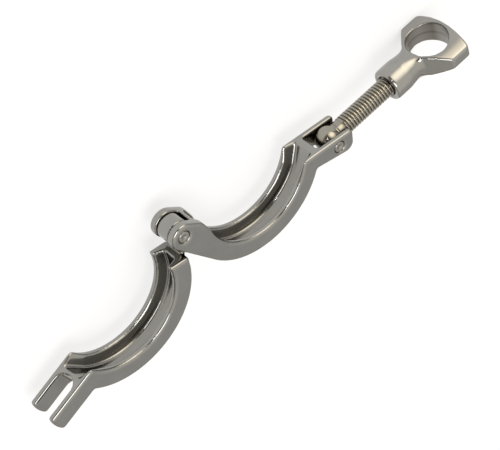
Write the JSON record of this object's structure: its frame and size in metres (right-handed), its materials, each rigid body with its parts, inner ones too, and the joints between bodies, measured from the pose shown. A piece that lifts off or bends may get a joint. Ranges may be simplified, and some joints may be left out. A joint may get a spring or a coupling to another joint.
{
  "type": "sanitary hinged clamp",
  "caption": "Hinged two-segment clamp for sanitary flanges, shown open, with a swing bolt and a ring-headed wing nut.",
  "frame": {"origin": "centre of the bolt half's clamp bore, at mid thickness", "axes": "+Z along the bore axis, +X along the bolt half's parting line from the hinge to the bolt, fork half opened out to -X"},
  "size_m": [0.2119, 0.0579, 0.0286],
  "materials": {
    "cast_steel": "polished stainless casting, satin on the flat sides",
    "turned_steel": "turned stainless steel"
  },
  "bodies": {
    "bolt_half": {"bolt_half": "cast_steel", "hinge_pin": "turned_steel", "bolt_pin": "turned_steel"},
    "fork_half": {"fork_half": "cast_steel"},
    "swing_bolt": {"swing_bolt": "turned_steel"},
    "wing_nut": {"wing_nut": "cast_steel"}
  },
  "joints": [
    {"name": "clamp_hinge", "type": "hinge", "parent": "bolt_half", "child": "fork_half", "pos_m": [-0.0349, 0, 0], "axis": [0, 0, 1], "range_deg": [-207.4, 5]},
    {"name": "bolt_swing", "type": "hinge", "parent": "bolt_half", "child": "swing_bolt", "pos_m": [0.041, -0.0092, 0], "axis": [0, 0, 1], "range_deg": [-35, 79.5]},
    {"name": "nut_travel", "type": "slide", "parent": "swing_bolt", "child": "wing_nut", "axis": [0.9833, 0.1822, 0], "range_m": [-0.0088, 0.005]}
  ]
}
